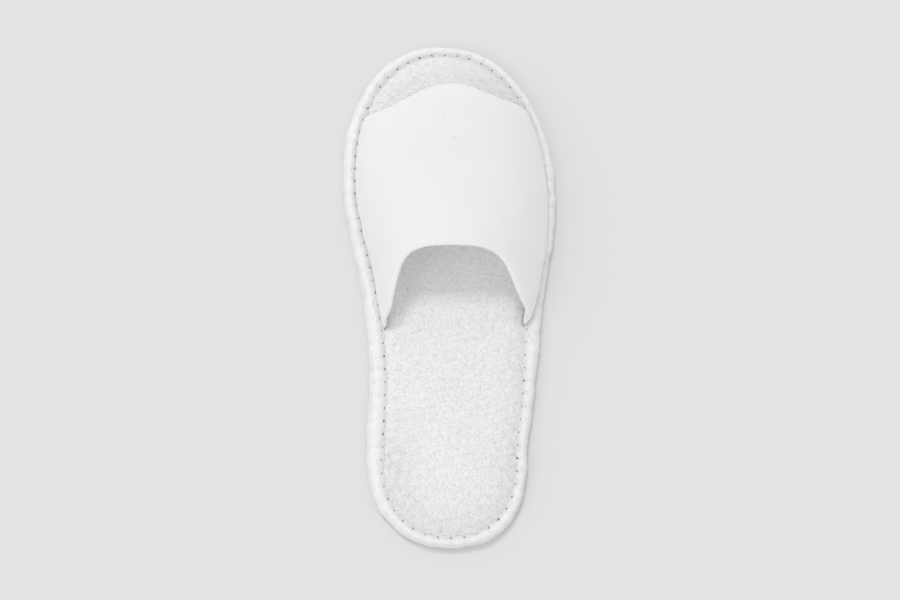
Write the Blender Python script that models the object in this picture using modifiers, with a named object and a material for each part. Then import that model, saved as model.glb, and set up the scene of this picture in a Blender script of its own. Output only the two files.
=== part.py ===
"""White open-toe hotel slipper for the right foot: outsole, insole, binding and upper.

Metres. +Y runs from the heel to the toe, +X to the foot's outer side and +Z up from the
floor. The origin is on the floor, at the middle of the slipper's length and width.
"""

from collections import namedtuple

import bmesh
import bpy
import numpy as np

# ---- driving dimensions ----
LENGTH = 0.283          # heel end to toe end
BALL_WIDTH = 0.1195     # widest place, across the ball of the foot
HEEL_WIDTH = 0.088
INSTEP_HEIGHT = 0.057   # floor to the top of the throat's edge
EDGE_HEIGHT = 0.0096    # floor to the top of the bound edge
FIT_GAP = 0.0003        # between pieces that touch

# ---- outline, as shares of the length ----
HEEL_ROUND = 0.175      # rounded heel, from the heel end
TOE_ROUND = 0.30        # rounded toe, from the toe end
HEEL_SQUARENESS = 2.25  # 2 is an ellipse, more is squarer
TOE_SQUARENESS = 2.2

# ---- foam sole and padded insole ----
OUTSOLE_TOP = 0.0042
SQUEEZED_UNDERSIDE = 0.0018   # the sole's rim is lifted by this where the seam squeezes it
SHEET_INSET = 0.0022          # cut edge of outsole and insole, in from the bound edge
UNDER_LAP = 0.0086            # reach of the tape under the sole, in from the bound edge
INSOLE_RIM = 0.0066           # top of the insole where the tape covers it
PILLOW_HEIGHT = 0.0088        # top of the insole inside its sloping border
PILLOW_CROWN = 0.0004         # how much higher its middle is
PILLOW_SLOPE = 0.0100         # width of its sloping border

# ---- edge tape ----
TAPE_END = 0.0074             # reach of the tape over the insole, in from the bound edge
TAPE_THICKNESS = 0.0012       # at its end
ROLL_CREST_INSET = 0.0042     # highest line of the roll, in from the bound edge
ROLL_MIDDLE = 0.0048          # height of the roll's widest place
TAPE_UNDERSIDE = 0.0002       # the tape clears the floor by this

# ---- upper ----
WALL = 0.0026
HEM_EXTRA = 0.0008            # the throat's turned hem is thicker by this
HEM_WIDTH = 0.010
FLANGE = 0.0008               # the upper's sides under the tape, squeezed thin
FLANGE_INSET = 0.0044         # its cut edge, in from the bound edge
FOOT_INSET = 0.0080           # outer face of the wall where it rises from the seam
FOOT_SQUEEZE = 0.7            # share of the wall's thickness there
FOLD_RISE = 0.0006            # from the flange up to the foot of the wall
BULGE_HEIGHT = 0.20           # share of the wall's height where its sides bulge most
BULGE_SCALE = 1.4             # brings the bulge's curve up to its stated size
BULGE_RAMP = 0.014            # the bulge grows over this, forward of the throat
BULGE_AT_THROAT = 0.3         # from this share of it at the throat's edge
ARCH_LEAN = 0.0036            # the crown stands this far toward the inner side

# ---- facets ----
EDGE_STEPS = (11, 13, 18)     # on a quarter of the heel, a side and a quarter of the toe
FINE_STEPS = (60, 60, 90)
ARCH_STEPS = 13               # from a foot of the wall to its crown
ALONG_STEPS = 18              # from the throat to the toe edge

OutlineRow = namedtuple("OutlineRow", "along fullness")
# fullness runs from 0 at the heel's width to 1 at the ball's
OUTLINE = [
    OutlineRow(0.175, 0.00),
    OutlineRow(0.263, 0.09),
    OutlineRow(0.350, 0.16),
    OutlineRow(0.438, 0.28),
    OutlineRow(0.525, 0.52),
    OutlineRow(0.613, 0.83),
    OutlineRow(0.700, 1.00),
]

MiddleRow = namedtuple("MiddleRow", "along aside")
# how far the middle line stands toward the outer side; the heel and the toe lean inward
MIDDLE_LINE = [
    MiddleRow(0.000, 0.0005),
    MiddleRow(0.175, -0.0015),
    MiddleRow(0.350, 0.0020),
    MiddleRow(0.525, 0.0019),
    MiddleRow(0.700, 0.0000),
    MiddleRow(0.850, -0.0022),
    MiddleRow(1.000, -0.0046),
]

VampRow = namedtuple("VampRow", "along height side_rise crown_spread outer_bulge inner_bulge")
# height is a share of the instep's. side_rise 1 leans the sides in, 2 lets them stand.
# crown_spread 2 is round on top, more is flatter. The bulges carry the sides outward.
VAMP = [
    VampRow(0.410, 1.090, 1.1, 2.45, 0.0070, 0.0012),
    VampRow(0.556, 1.000, 1.3, 2.45, 0.0068, 0.0010),
    VampRow(0.684, 0.851, 2.0, 2.60, 0.0044, 0.0002),
    VampRow(0.807, 0.680, 2.2, 2.55, 0.0034, 0.0000),
    VampRow(0.919, 0.491, 2.2, 2.40, 0.0024, 0.0000),
]

HemRow = namedtuple("HemRow", "tip top squareness steepness skew")
# tip at the seam and top over the crown are shares of the length. Squareness over 2 widens
# the curve's shoulders, steepness over 1 draws its ends out along the seam, and skew is the
# share of the length by which the outer end lies forward and the inner end back.
THROAT = HemRow(0.431, 0.560, 3.25, 1.4, 0.0045)
TOE_EDGE = HemRow(0.862, 0.8985, 1.8, 2.8, 0.0135)

TuckRow = namedtuple("TuckRow", "inset height")
# from the flange's cut edge to the fold below the wall
TUCK = [
    TuckRow(FLANGE_INSET, INSOLE_RIM),
    TuckRow(FOOT_INSET - 0.0010, INSOLE_RIM),
    TuckRow(FOOT_INSET - 0.0002, INSOLE_RIM + 0.0002),
]

Finish = namedtuple("Finish", "colour roughness")
FINISHES = {
    "outsole": Finish((0.80, 0.80, 0.79), 0.75),
    "insole": Finish((0.78, 0.78, 0.77), 0.95),
    "binding": Finish((0.83, 0.83, 0.82), 0.95),
    "upper": Finish((0.85, 0.85, 0.85), 0.85),
}


# ---- curves ----
def ease(t):
    """Smooth step from 0 to 1 as t goes from 0 to 1."""
    t = np.clip(t, 0.0, 1.0)
    return t * t * (3.0 - 2.0 * t)


def curve_through(knots, values, x, flat_ends=False):
    """Smooth curve through (knots, values), read at x."""
    knots = np.array(knots)
    values = np.array(values)
    slopes = np.gradient(values, knots)
    if flat_ends:
        slopes[0] = slopes[-1] = 0.0
    i = np.clip(np.searchsorted(knots, x) - 1, 0, len(knots) - 2)
    span = knots[i + 1] - knots[i]
    t = (x - knots[i]) / span
    rise = values[i] + ease(t) * (values[i + 1] - values[i])
    return rise + span * (t * (1 - t) ** 2 * slopes[i] - t * t * (1 - t) * slopes[i + 1])


def half_width(along):
    """Half the slipper's width at a share of its length, on its straighter middle."""
    fullness = curve_through(
        [row.along for row in OUTLINE], [row.fullness for row in OUTLINE], along, flat_ends=True
    )
    return (HEEL_WIDTH + (BALL_WIDTH - HEEL_WIDTH) * fullness) / 2


def centre_line(along):
    """Sideways place of the slipper's middle at a share of its length."""
    return curve_through([row.along for row in MIDDLE_LINE], [row.aside for row in MIDDLE_LINE], along)


def outline(steps):
    """Points round the edge, seen from above, and the inward direction at each.

    They run from the heel end along the outer side, round the toe and back.
    """
    heel_steps, side_steps, toe_steps = steps
    heel_turn = np.linspace(0.0, np.pi / 2, heel_steps + 1)
    toe_turn = np.linspace(0.0, np.pi / 2, toe_steps + 1)
    side = np.linspace(HEEL_ROUND, 1.0 - TOE_ROUND, side_steps + 1)[1:-1]
    along = np.concatenate([
        HEEL_ROUND * (1.0 - np.cos(heel_turn) ** (2 / HEEL_SQUARENESS)),
        side,
        1.0 - TOE_ROUND + TOE_ROUND * np.sin(toe_turn) ** (2 / TOE_SQUARENESS),
    ])
    half = np.concatenate([
        HEEL_WIDTH / 2 * np.sin(heel_turn) ** (2 / HEEL_SQUARENESS),
        half_width(side),
        BALL_WIDTH / 2 * np.cos(toe_turn) ** (2 / TOE_SQUARENESS),
    ])
    half[[0, -1]] = 0.0
    outer = np.stack([centre_line(along) + half, along * LENGTH], axis=1)
    inner = np.stack([centre_line(along) - half, along * LENGTH], axis=1)
    points = np.concatenate([outer, inner[-2:0:-1]])
    ahead = np.roll(points, -1, axis=0) - points
    reach = np.linalg.norm(ahead, axis=1, keepdims=True)
    ahead /= reach
    tangent = ahead * np.roll(reach, 1, axis=0) + np.roll(ahead, 1, axis=0) * reach
    tangent /= np.linalg.norm(tangent, axis=1, keepdims=True)
    return points, np.stack([-tangent[:, 1], tangent[:, 0]], axis=1)


EDGE, EDGE_INWARD = outline(EDGE_STEPS)
FINE_EDGE, FINE_INWARD = outline(FINE_STEPS)
MIDDLE = np.array([(FINE_EDGE[:, 0].min() + FINE_EDGE[:, 0].max()) / 2, LENGTH / 2, 0.0])


def edge_ring(inset, height):
    """One closed ring of points, inset from the bound edge, at a height."""
    flat = EDGE + EDGE_INWARD * np.reshape(inset, (-1, 1))
    tall = np.broadcast_to(height, len(flat))
    return np.column_stack([flat, tall]) - MIDDLE


def side_line(inset, along, outer):
    """Sideways place of a line inset from the edge, at distances along one side."""
    line = FINE_EDGE + FINE_INWARD * inset
    tip = np.argmax(line[:, 1])
    line = line[: tip + 1] if outer else line[tip:]
    line = line[np.argsort(line[:, 1])]
    return np.interp(along, line[:, 1], line[:, 0])


def under_upper(along):
    """1 where the upper's sides lie between insole and tape, 0 clear of them."""
    start, end = (THROAT.tip - THROAT.skew) * LENGTH, (TOE_EDGE.tip + TOE_EDGE.skew) * LENGTH
    fade, margin = 0.010, 0.012
    return ease((along - start + margin + fade) / fade) * ease((end + margin + fade - along) / fade)


# ---- making objects ----
def finish(name):
    """The part's own material."""
    material = bpy.data.materials.new(name)
    material.use_nodes = True
    shader = material.node_tree.nodes["Principled BSDF"]
    shader.inputs["Base Color"].default_value = (*FINISHES[name].colour, 1.0)
    shader.inputs["Roughness"].default_value = FINISHES[name].roughness
    shader.inputs["Metallic"].default_value = 0.0
    return material


def add_object(name, mesh, collection):
    """An object of the collection with its own material, shaded smooth but for sharp edges."""
    mesh.shade_smooth()
    mesh.set_sharp_from_angle(angle=np.radians(50))
    item = bpy.data.objects.new(name, mesh)
    item.data.materials.append(finish(name))
    collection.objects.link(item)
    return item


def skin_rings(name, rings):
    """A solid skinned over closed rings, closed by a flat face at both ends."""
    count = len(rings[0])
    here = np.arange(count)
    there = np.roll(here, -1)
    faces = [tuple(here[::-1])]
    for level in range(len(rings) - 1):
        low, high = level * count, (level + 1) * count
        faces += zip(low + here, low + there, high + there, high + here)
    faces.append(tuple(here + (len(rings) - 1) * count))
    mesh = bpy.data.meshes.new(name)
    mesh.from_pydata(np.concatenate(rings).tolist(), [], [tuple(map(int, f)) for f in faces])
    return mesh


def make_outsole(collection):
    """Foam sheet, cut to the outline and squeezed thinner where the tape laps under it."""
    model = bmesh.new()
    sheet = model.faces.new([model.verts.new(p) for p in edge_ring(SHEET_INSET, OUTSOLE_TOP)])
    model.normal_update()
    bmesh.ops.solidify(model, geom=[sheet], thickness=OUTSOLE_TOP - SQUEEZED_UNDERSIDE)
    bmesh.ops.recalc_face_normals(model, faces=model.faces)
    underside = min(model.faces, key=lambda face: face.calc_center_median().z)
    bmesh.ops.inset_region(model, faces=[underside], thickness=UNDER_LAP - SHEET_INSET)
    bmesh.ops.inset_region(
        model, faces=[underside], thickness=SQUEEZED_UNDERSIDE / 2, depth=SQUEEZED_UNDERSIDE
    )
    mesh = bpy.data.meshes.new("outsole")
    model.to_mesh(mesh)
    model.free()
    outsole = add_object("outsole", mesh, collection)
    softened = outsole.modifiers.new("cut edge", "BEVEL")
    softened.width = 0.0004
    softened.segments = 1
    softened.angle_limit = np.radians(70)
    return outsole


def make_insole(collection):
    """Padded terry footbed: a thin rim under the tape and a low pillow inside the seam."""
    covered = under_upper(EDGE[:, 1])
    bottom = OUTSOLE_TOP + FIT_GAP
    rim = INSOLE_RIM - covered * (FLANGE + FIT_GAP)
    border = TAPE_END + FIT_GAP + covered * (FOOT_INSET + WALL - TAPE_END)
    corner = 0.0004
    rings = [
        edge_ring(SHEET_INSET + corner, bottom),
        edge_ring(SHEET_INSET, bottom + corner),
        edge_ring(SHEET_INSET + corner, rim),
        edge_ring(border, rim),
    ]
    for share in (0.08, 0.25, 0.50, 0.75, 1.0):
        climb = 1.0 - (1.0 - share) ** 2.4
        rings.append(edge_ring(border + PILLOW_SLOPE * share, rim + (PILLOW_HEIGHT - rim) * climb))
    rings.append(edge_ring(0.030, PILLOW_HEIGHT + PILLOW_CROWN))
    return add_object("insole", skin_rings("insole", rings), collection)


def tape_section():
    """Closed outline of the folded tape: distance in from the bound edge, and height."""
    turn = np.linspace(0.0, np.pi, 11)
    half = np.where(turn < np.pi / 2, EDGE_HEIGHT - ROLL_MIDDLE, ROLL_MIDDLE - TAPE_UNDERSIDE)
    roll = np.stack([ROLL_CREST_INSET * (1 - np.sin(turn)), ROLL_MIDDLE + half * np.cos(turn)], 1)
    end_top = INSOLE_RIM + FIT_GAP + TAPE_THICKNESS
    share = np.array([0.95, 0.7, 0.5, 0.3])
    valley = np.stack([
        ROLL_CREST_INSET + (TAPE_END - ROLL_CREST_INSET) * share,
        EDGE_HEIGHT - (EDGE_HEIGHT - end_top) * ease(share),
    ], 1)
    lap = UNDER_LAP - FIT_GAP
    inside = SHEET_INSET - FIT_GAP
    low, high = SQUEEZED_UNDERSIDE - FIT_GAP, INSOLE_RIM + FIT_GAP
    corner = 0.0005
    lining = np.array([
        (lap, TAPE_UNDERSIDE),
        (lap, low),
        (inside + corner, low),
        (inside, low + corner),
        (inside, high - corner),
        (inside + corner, high),
        (TAPE_END - corner / 2, high),
        (TAPE_END, high + corner / 2),
        (TAPE_END, end_top - corner / 2),
    ])
    return np.concatenate([valley, roll, lining])


def closed_curve(name, points):
    """A flat closed curve through points given as (x, y)."""
    data = bpy.data.curves.new(name, "CURVE")
    data.dimensions = "2D"
    data.fill_mode = "NONE"
    spline = data.splines.new("POLY")
    spline.points.add(len(points) - 1)
    for place, (x, y) in zip(spline.points, points):
        place.co = (x, y, 0.0, 1.0)
    spline.use_cyclic_u = True
    return bpy.data.objects.new(name, data)


def make_binding(collection, guides):
    """Terry tape folded round the edge: its section swept along the outline."""
    section = closed_curve("tape_section", tape_section()[::-1])
    path = closed_curve("edge_path", EDGE - MIDDLE[:2])
    path.data.bevel_mode = "OBJECT"
    path.data.bevel_object = section
    for guide in (section, path):
        guides.objects.link(guide)
        guide.hide_render = True
        guide.display_type = "WIRE"
    bpy.context.view_layer.update()
    swept = path.evaluated_get(bpy.context.evaluated_depsgraph_get())
    mesh = bpy.data.meshes.new_from_object(swept)
    mesh.name = "binding"
    mesh.materials.clear()
    return add_object("binding", mesh, collection)


# ---- the upper ----
def arch_points(turn, along, throat):
    """Outer face of the vamp: an arch over the two seams at each distance along.

    turn is 0 at the crown and a quarter turn at each foot, negative on the inner side.
    """
    def column(values):
        return curve_through([row.along for row in VAMP], values, along / LENGTH)

    inner_seam = side_line(FOOT_INSET, along, outer=False)
    outer_seam = side_line(FOOT_INSET, along, outer=True)
    spread = column([row.crown_spread for row in VAMP])
    sideways = np.sign(turn) * np.abs(np.sin(turn)) ** (2 / spread)
    rise = np.cos(turn) ** (2 / column([row.side_rise for row in VAMP]))
    outer_bulge = column([row.outer_bulge for row in VAMP])
    inner_bulge = column([row.inner_bulge for row in VAMP])
    swell = BULGE_SCALE * ease(rise / BULGE_HEIGHT) * (1.0 - rise) ** 1.5
    swell *= BULGE_AT_THROAT + (1.0 - BULGE_AT_THROAT) * ease((along - throat) / BULGE_RAMP)
    across = (inner_seam + outer_seam) / 2 + (outer_seam - inner_seam) / 2 * sideways
    across += swell * np.where(turn > 0.0, outer_bulge, -inner_bulge) - ARCH_LEAN * rise
    foot = INSOLE_RIM + FOLD_RISE
    crown = INSTEP_HEIGHT * column([row.height for row in VAMP])
    return np.stack([across, along, foot + (crown - foot) * rise], axis=2)


def tucked_points(along, outer):
    """The rows of one side of the upper that lie flat between insole and tape."""
    return np.stack([
        np.column_stack([side_line(row.inset, along, outer), along, np.full(len(along), row.height)])
        for row in TUCK
    ])


def hem_line(turn, hem):
    """Distance along of a hem of the vamp, at turns round the arch."""
    climb = (1.0 - np.abs(np.sin(turn)) ** hem.squareness) ** hem.steepness
    return LENGTH * (hem.tip + (hem.top - hem.tip) * climb + hem.skew * np.sin(turn))


def vamp_face():
    """Outer face of the upper, inner side to outer side by throat to toe, and its thickness."""
    step = np.linspace(0.0, 1.0, ARCH_STEPS + 1)
    falling = np.pi / 2 * (1.0 - step ** 1.6)
    turn = np.concatenate([-falling, falling[-2::-1]])[:, None]
    throat, toe_edge = hem_line(turn, THROAT), hem_line(turn, TOE_EDGE)
    hem_round = WALL / 2
    reach = np.linspace(0.0, 1.0, ALONG_STEPS + 1)
    along = throat + hem_round + (toe_edge - throat - 2 * hem_round) * reach
    thickness = WALL + HEM_EXTRA * (1.0 - ease((along - throat) / HEM_WIDTH))
    thickness[[0, -1]] *= FOOT_SQUEEZE
    inner_side = tucked_points(along[0], outer=False)
    outer_side = tucked_points(along[-1], outer=True)[::-1]
    flange = np.full(inner_side.shape[:2], FLANGE)
    face = np.concatenate([inner_side, arch_points(turn, along, throat), outer_side])
    return face, np.concatenate([flange, thickness, flange])


def unit(vectors):
    """The same vectors, each of length 1."""
    return vectors / np.linalg.norm(vectors, axis=-1, keepdims=True)


def make_upper(collection):
    """Padded vamp: an arched wall with rounded hems, open at throat, toe and underneath.

    Each row of the outer face becomes one closed loop: out along the face, round the toe
    hem, back along the lining and round the throat's hem. The loops are skinned in turn.
    """
    face, thickness = vamp_face()
    onward = unit(np.gradient(face, axis=1))
    inward = unit(np.cross(onward, np.gradient(face, axis=0)))
    lining = face + inward * thickness[:, :, None]
    turn = np.radians([45.0, 90.0, 135.0])[:, None]

    def hem(end, outward):
        radius = thickness[:, end, None, None] / 2
        depth = radius * (1.0 - np.cos(turn)) * inward[:, None, end]
        return face[:, None, end] + depth + outward * radius * np.sin(turn) * onward[:, None, end]

    toe_hem, throat_hem = hem(-1, 1.0), hem(0, -1.0)[:, ::-1]
    loops = np.concatenate([face, toe_hem, lining[:, ::-1], throat_hem], axis=1)
    rows, size = loops.shape[:2]
    index = np.arange(rows * size).reshape(rows, size)
    onto = np.roll(index, -1, axis=1)
    corners = np.stack([index[:-1], index[1:], onto[1:], onto[:-1]], axis=-1)
    faces = corners.reshape(-1, 4).tolist()

    columns = face.shape[1]
    toe_turn, throat_turn = columns + toe_hem.shape[1], size - throat_hem.shape[1]
    for row, facing in ((index[0], 1), (index[-1], -1)):
        outside, inside = row[:columns], row[toe_turn:throat_turn][::-1]
        caps = np.stack([outside[:-1], outside[1:], inside[1:], inside[:-1]], axis=1).tolist()
        caps.append([outside[0], inside[0], *row[throat_turn:]])
        caps.append([outside[-1], *row[columns:toe_turn], inside[-1]])
        faces += [[int(corner) for corner in cap[::facing]] for cap in caps]
    mesh = bpy.data.meshes.new("upper")
    mesh.from_pydata((loops.reshape(-1, 3) - MIDDLE).tolist(), [], faces)
    return add_object("upper", mesh, collection)


def main():
    for item in list(bpy.data.objects):
        bpy.data.objects.remove(item)
    slipper = bpy.data.collections.new("hotel_slipper")
    guides = bpy.data.collections.new("guides")
    for collection in (slipper, guides):
        bpy.context.scene.collection.children.link(collection)
    make_outsole(slipper)
    make_insole(slipper)
    make_binding(slipper, guides)
    make_upper(slipper)


if __name__ == "__main__":
    main()
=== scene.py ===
import bpy
import numpy as np
from mathutils import Matrix, Vector


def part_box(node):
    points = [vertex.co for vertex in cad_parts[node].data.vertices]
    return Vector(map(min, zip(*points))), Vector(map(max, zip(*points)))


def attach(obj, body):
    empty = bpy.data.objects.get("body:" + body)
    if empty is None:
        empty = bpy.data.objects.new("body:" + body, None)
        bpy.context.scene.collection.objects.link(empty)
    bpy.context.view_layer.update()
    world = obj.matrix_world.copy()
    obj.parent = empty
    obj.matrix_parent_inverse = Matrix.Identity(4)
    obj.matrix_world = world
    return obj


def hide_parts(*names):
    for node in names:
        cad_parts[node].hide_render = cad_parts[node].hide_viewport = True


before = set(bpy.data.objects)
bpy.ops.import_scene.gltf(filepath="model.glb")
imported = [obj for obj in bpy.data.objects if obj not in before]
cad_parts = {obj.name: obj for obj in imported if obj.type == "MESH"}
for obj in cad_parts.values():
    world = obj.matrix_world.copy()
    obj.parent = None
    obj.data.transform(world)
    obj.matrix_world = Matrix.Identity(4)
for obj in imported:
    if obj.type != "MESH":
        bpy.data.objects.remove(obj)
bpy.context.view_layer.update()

print("frame loaded")

# the slipper's own sizes in metres, read from the frame: +Y is the toe, +X the outer side
tapeLow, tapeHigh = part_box("binding")
slipper = {
    "length": tapeHigh.y - tapeLow.y,
    "ballWidth": 0.998 * (tapeHigh.x - tapeLow.x),   # the bent outline is a little wider than the ball
    "instep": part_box("upper")[1].z + 0.00046,        # floor to the arch's crown behind the throat's hem
    "edgeTop": tapeHigh.z,
    "soleTop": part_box("outsole")[1].z,
    "bedRim": 0.0066,                                # top of the footbed where the tape covers it
    "fitGap": 0.0003,
}
outlineShape = {
    "heelWidth": 0.7364,                     # share of the ball's width
    "heelRound": 0.175, "toeRound": 0.30,    # shares of the length
    "heelSquareness": 2.25, "toeSquareness": 2.2,
    # share of the length, and how far the sides have spread from the heel's width to the ball's
    "fullness": [(0.175, 0.00), (0.263, 0.09), (0.350, 0.16), (0.438, 0.28),
                 (0.525, 0.52), (0.613, 0.83), (0.700, 1.00)],
    # share of the length, and how far the middle line stands toward the outer side
    "middle": [(0.000, 0.0005), (0.175, -0.0015), (0.350, 0.0020), (0.525, 0.0019),
               (0.700, 0.0000), (0.850, -0.0022), (1.000, -0.0046)],
}
seam = {
    "stitch": 0.0072,       # from one needle hole to the next
    "height": 0.0082,       # the tape's top in the sewn groove
    # share of the way round from the heel end, outer side first, and how far in from the bound edge
    "inset": [(0.00, 0.0054), (0.04, 0.0060), (0.10, 0.0057), (0.15, 0.0064), (0.20, 0.0077),
              (0.25, 0.0075), (0.34, 0.0068), (0.42, 0.0056), (0.50, 0.0056), (0.56, 0.0070),
              (0.65, 0.0065), (0.74, 0.0068), (0.79, 0.0078), (0.86, 0.0090), (0.90, 0.0078),
              (0.95, 0.0058), (1.00, 0.0054)],
}


def ease(t):
    # smooth step: three t squared less two t cubed
    t = np.clip(t, 0.0, 1.0)
    return t * t * (3.0 - 2.0 * t)


def curveThrough(knots, values, x, flatEnds=False):
    # Hermite curve through the knots, its slope at each taken from the neighbours
    knots, values = np.array(knots), np.array(values)
    slopes = np.gradient(values, knots)
    if flatEnds:
        slopes[0] = slopes[-1] = 0.0
    i = np.clip(np.searchsorted(knots, x) - 1, 0, len(knots) - 2)
    span = knots[i + 1] - knots[i]
    t = (x - knots[i]) / span
    rise = values[i] + ease(t) * (values[i + 1] - values[i])
    return rise + span * (t * (1 - t) ** 2 * slopes[i] - t * t * (1 - t) * slopes[i + 1])


def unevenness(x, y, wavelength, seed, waves=9):
    # sum of sine waves of like length in many directions, about -1 to 1
    draw = np.random.default_rng(seed)
    angle = draw.uniform(0.0, np.pi, waves)
    turns = 2 * np.pi * draw.uniform(0.7, 1.5, waves) / wavelength
    phase = draw.uniform(0.0, 2 * np.pi, waves)
    total = np.zeros(np.broadcast(x, y).shape)
    for a, k, p in zip(angle, turns, phase):
        total += np.sin(k * (x * np.cos(a) + y * np.sin(a)) + p)
    return total / np.sqrt(1.6 * waves)


def wavesRound(turn, counts, seed):
    # sines that fit a whole number of times round the edge, so that the ends meet
    phase = np.random.default_rng(seed).uniform(0.0, 2 * np.pi, len(counts))
    return sum(np.sin(2 * np.pi * n * turn + p) for n, p in zip(counts, phase)) / np.sqrt(len(counts))


def unit(vectors):
    # each vector divided by its length
    return vectors / np.linalg.norm(vectors, axis=-1, keepdims=True)


def outline():
    # superellipse heel, table-driven sides and superellipse toe about a bent middle line
    shape = outlineShape
    heelWidth = slipper["ballWidth"] * shape["heelWidth"]
    heel, toe = shape["heelRound"], shape["toeRound"]
    heelTurn = np.linspace(0.0, np.pi / 2, 260)
    toeTurn = np.linspace(0.0, np.pi / 2, 340)
    side = np.linspace(heel, 1.0 - toe, 260)[1:-1]
    knots, fullness = zip(*shape["fullness"])
    along = np.concatenate([
        heel * (1.0 - np.cos(heelTurn) ** (2 / shape["heelSquareness"])),
        side,
        1.0 - toe + toe * np.sin(toeTurn) ** (2 / shape["toeSquareness"]),
    ])
    spread = (slipper["ballWidth"] - heelWidth) * curveThrough(knots, fullness, side, True)
    half = np.concatenate([
        heelWidth / 2 * np.sin(heelTurn) ** (2 / shape["heelSquareness"]),
        (heelWidth + spread) / 2,
        slipper["ballWidth"] / 2 * np.cos(toeTurn) ** (2 / shape["toeSquareness"]),
    ])
    half[[0, -1]] = 0.0
    middle = curveThrough(*zip(*shape["middle"]), along)
    outer = np.stack([middle + half, along * slipper["length"]], axis=1)
    inner = np.stack([middle - half, along * slipper["length"]], axis=1)
    points = np.concatenate([outer, inner[-2:0:-1]])
    ahead = np.roll(points, -1, axis=0) - points
    reach = np.linalg.norm(ahead, axis=1, keepdims=True)
    course = ahead / reach
    tangent = unit(course * np.roll(reach, 1, axis=0) + np.roll(course, 1, axis=0) * reach)
    points += ((tapeLow.x + tapeHigh.x) / 2 - (points[:, 0].min() + points[:, 0].max()) / 2, tapeLow.y)
    return points, np.stack([-tangent[:, 1], tangent[:, 0]], axis=1)


def shareRound(line):
    # share of the way round a closed line at each of its points, and 1 at the start again
    reach = np.append(0.0, np.linalg.norm(np.roll(line, -1, axis=0) - line, axis=1).cumsum())
    return reach / reach[-1]


edge, edgeInward = outline()
seamInset = curveThrough(*zip(*seam["inset"]), shareRound(edge)[:-1], True)
seamLine = edge + edgeInward * seamInset[:, None]
seamDistance = np.append(0.0, np.linalg.norm(np.roll(seamLine, -1, axis=0) - seamLine, axis=1).cumsum())
seamLength = seamDistance[-1]
toeDistance = seamDistance[np.argmax(edge[:, 1])]
stitchCount = round(seamLength / seam["stitch"])
stitch = seamLength / stitchCount
print(f"outline: {seamLength * 1000:.0f} mm of seam, {stitchCount} stitches")


def besideEdge(distance):
    # at distances along the seam from the heel end: place of the bound edge, its inward direction
    # and how far in from it the seam is
    turn = np.mod(distance, seamLength)
    x, y, inwardX, inwardY, inset = (
        np.interp(turn, seamDistance, np.append(values, values[0]))
        for values in (*edge.T, *edgeInward.T, seamInset)
    )
    return np.stack([x, y], axis=-1), unit(np.stack([inwardX, inwardY], axis=-1)), inset


def sideLine(inset, y, outer):
    # sideways place of a line inset from the edge, along one side
    line = edge + edgeInward * np.reshape(inset, (-1, 1))
    tip = np.argmax(line[:, 1])
    line = line[: tip + 1] if outer else line[tip:]
    line = line[np.argsort(line[:, 1])]
    return np.interp(y, line[:, 1], line[:, 0])


def seamDepth(x, y):
    # how far in from the seam a place lies, from its distance to the nearest point of the bound edge
    thin, thinInset = edge[::2], seamInset[::2]
    parts = np.array_split(np.stack([x, y], axis=1), len(x) // 2000 + 1)
    apart = [((part[:, None] - thin[None]) ** 2).sum(-1) for part in parts]
    return np.concatenate([
        np.sqrt(gaps.min(axis=1)) - thinInset[gaps.argmin(axis=1)] for gaps in apart
    ])


def gridFaces(rows, columns, closeRows=False, closeColumns=False):
    # quads between neighbours of a grid numbered row by row
    index = np.arange(rows * columns).reshape(rows, columns)
    if closeRows:
        index = np.concatenate([index, index[:1]])
    if closeColumns:
        index = np.concatenate([index, index[:, :1]], axis=1)
    return np.stack([index[:-1, :-1], index[1:, :-1], index[1:, 1:], index[:-1, 1:]], -1).reshape(-1, 4)


def makePiece(name, points, faces, material):
    # a smooth mesh whose faces point outward: all are turned if the enclosed volume comes out negative
    faces = [list(map(int, face)) for face in faces]
    mesh = bpy.data.meshes.new(name)
    mesh.from_pydata(np.asarray(points).tolist(), [], faces)
    mesh.calc_loop_triangles()
    triangles = np.empty(len(mesh.loop_triangles) * 3, dtype=np.int32)
    mesh.loop_triangles.foreach_get("vertices", triangles)
    a, b, c = np.asarray(points)[triangles.reshape(-1, 3)].transpose(1, 0, 2)
    if (a * np.cross(b, c)).sum() < 0:
        mesh.flip_normals()
    mesh.shade_smooth()
    piece = bpy.data.objects.new(name, mesh)
    bpy.context.scene.collection.objects.link(piece)
    piece.data.materials.append(material)
    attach(piece, "root")
    print(f"{name}: {len(triangles) // 3} triangles")
    return piece


def addAttribute(piece, name, values):
    layer = piece.data.attributes.new(name, "FLOAT", "POINT")
    layer.data.foreach_set("value", np.asarray(values, dtype=np.float32).ravel())


def newGroup(name, inputs, outputs):
    group = bpy.data.node_groups.new(name, "ShaderNodeTree")
    for socket, kind, value in inputs:
        made = group.interface.new_socket(socket, in_out="INPUT", socket_type=kind)
        if value is not None:
            made.default_value = value
    for socket, kind in outputs:
        group.interface.new_socket(socket, in_out="OUTPUT", socket_type=kind)
    return group, group.nodes.new("NodeGroupInput"), group.nodes.new("NodeGroupOutput")


def addNode(tree, kind, **values):
    node = tree.nodes.new(kind)
    for name, value in values.items():
        setattr(node, name, value)
    return node


def setInputs(node, values):
    for name, value in values.items():
        node.inputs[name].default_value = value


def joinSockets(tree, *pairs):
    for start, end in pairs:
        tree.links.new(start, end)


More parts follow.
